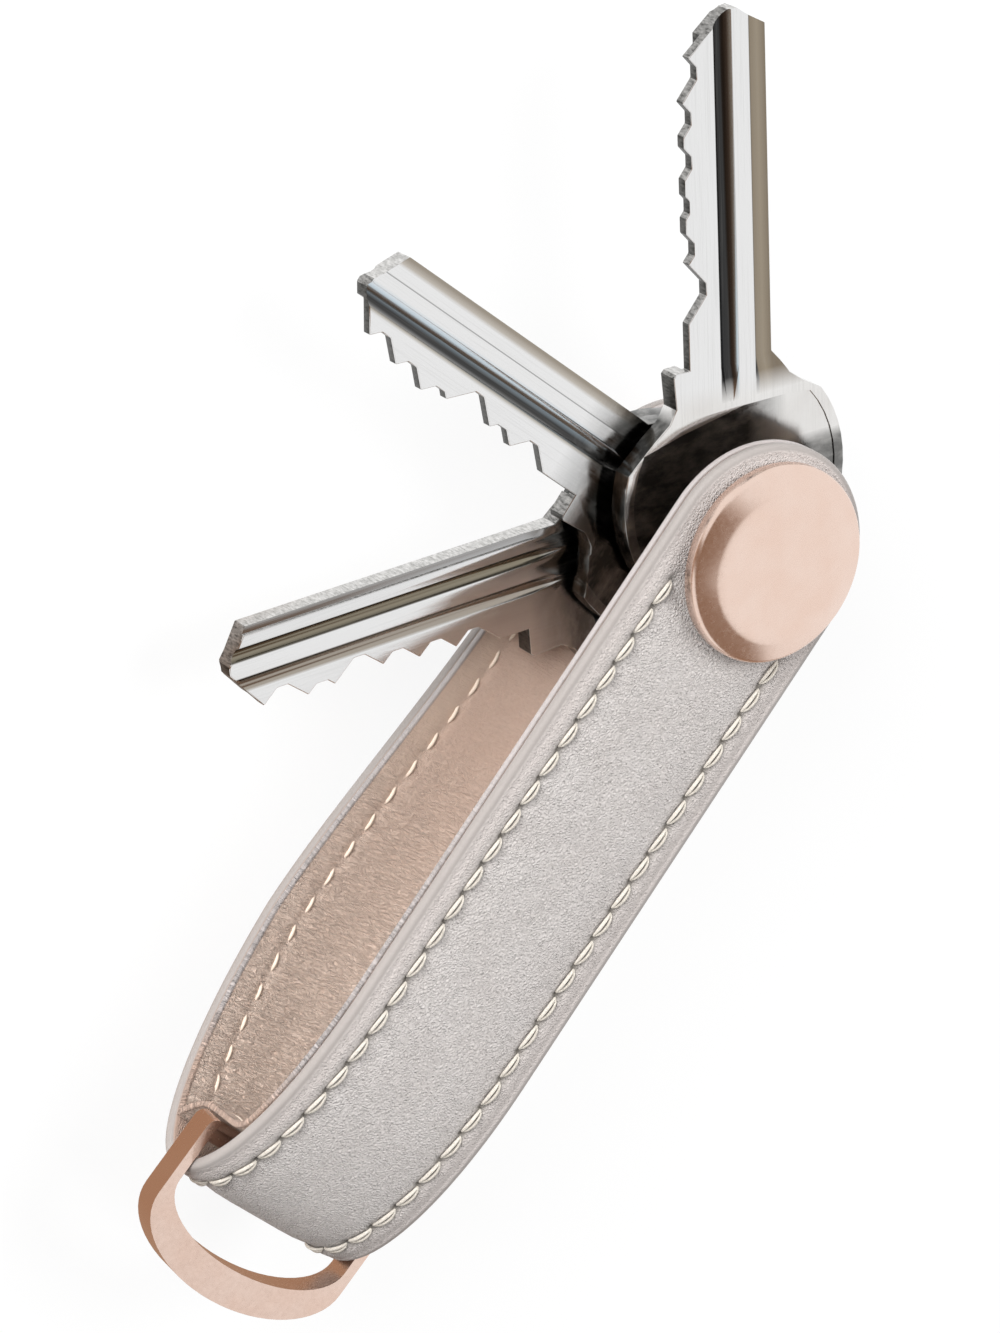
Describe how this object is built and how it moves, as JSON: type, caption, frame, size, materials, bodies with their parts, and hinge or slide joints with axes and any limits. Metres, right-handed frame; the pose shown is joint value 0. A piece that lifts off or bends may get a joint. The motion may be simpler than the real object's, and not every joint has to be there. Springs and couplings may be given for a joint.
{
  "type": "leather key organizer",
  "caption": "Folded leather band that holds keys fanned out on a screwed post between its ends, with a D-ring in its fold for clipping to a bag or chain.",
  "frame": {"origin": "centre of the front button's face", "axes": "+Z out of the front button along the post, +Y along the band from its fold towards its round ends, +X across the band"},
  "size_m": [0.0546, 0.1099, 0.0201],
  "materials": {
    "leather_grey": "fine pebbled grain, semi-matte",
    "lining_blush": "smooth, slight sheen",
    "rose_gold": "satin plated",
    "nickel": "polished",
    "steel": "plain turned",
    "nylon": "matte"
  },
  "bodies": {
    "strap": {"outer_leather_band": "leather_grey", "lining_band": "lining_blush", "front_button": "rose_gold", "threaded_post": "steel", "front_eyelet": "steel", "rear_eyelet": "steel", "tension_washer": "steel", "front_slip_washer": "nylon", "rear_slip_washer": "nylon", "front_key_spacer": "nylon", "rear_key_spacer": "nylon"},
    "front_key": {"key_front": "nickel"},
    "middle_key": {"key_middle": "nickel"},
    "rear_key": {"key_rear": "nickel"},
    "ring": {"d_ring": "rose_gold"},
    "screw": {"rear_screw": "rose_gold"}
  },
  "joints": [
    {"name": "front_key_turn", "type": "hinge", "parent": "strap", "child": "front_key", "pos_m": [0, 0, -0.00755], "axis": [0, 0, 1], "continuous": true},
    {"name": "middle_key_turn", "type": "hinge", "parent": "strap", "child": "middle_key", "pos_m": [0, 0, -0.01035], "axis": [0, 0, 1], "continuous": true},
    {"name": "rear_key_turn", "type": "hinge", "parent": "strap", "child": "rear_key", "pos_m": [0, 0, -0.01315], "axis": [0, 0, 1], "continuous": true},
    {"name": "ring_swing", "type": "hinge", "parent": "strap", "child": "ring", "pos_m": [0, -0.06355, -0.00975], "axis": [1, 0, 0], "range_deg": [-98, 48]},
    {"name": "screw_loosen", "type": "hinge", "parent": "strap", "child": "screw", "pos_m": [0, 0, -0.0197], "axis": [0, 0, -1], "range_deg": [0, 180]}
  ]
}
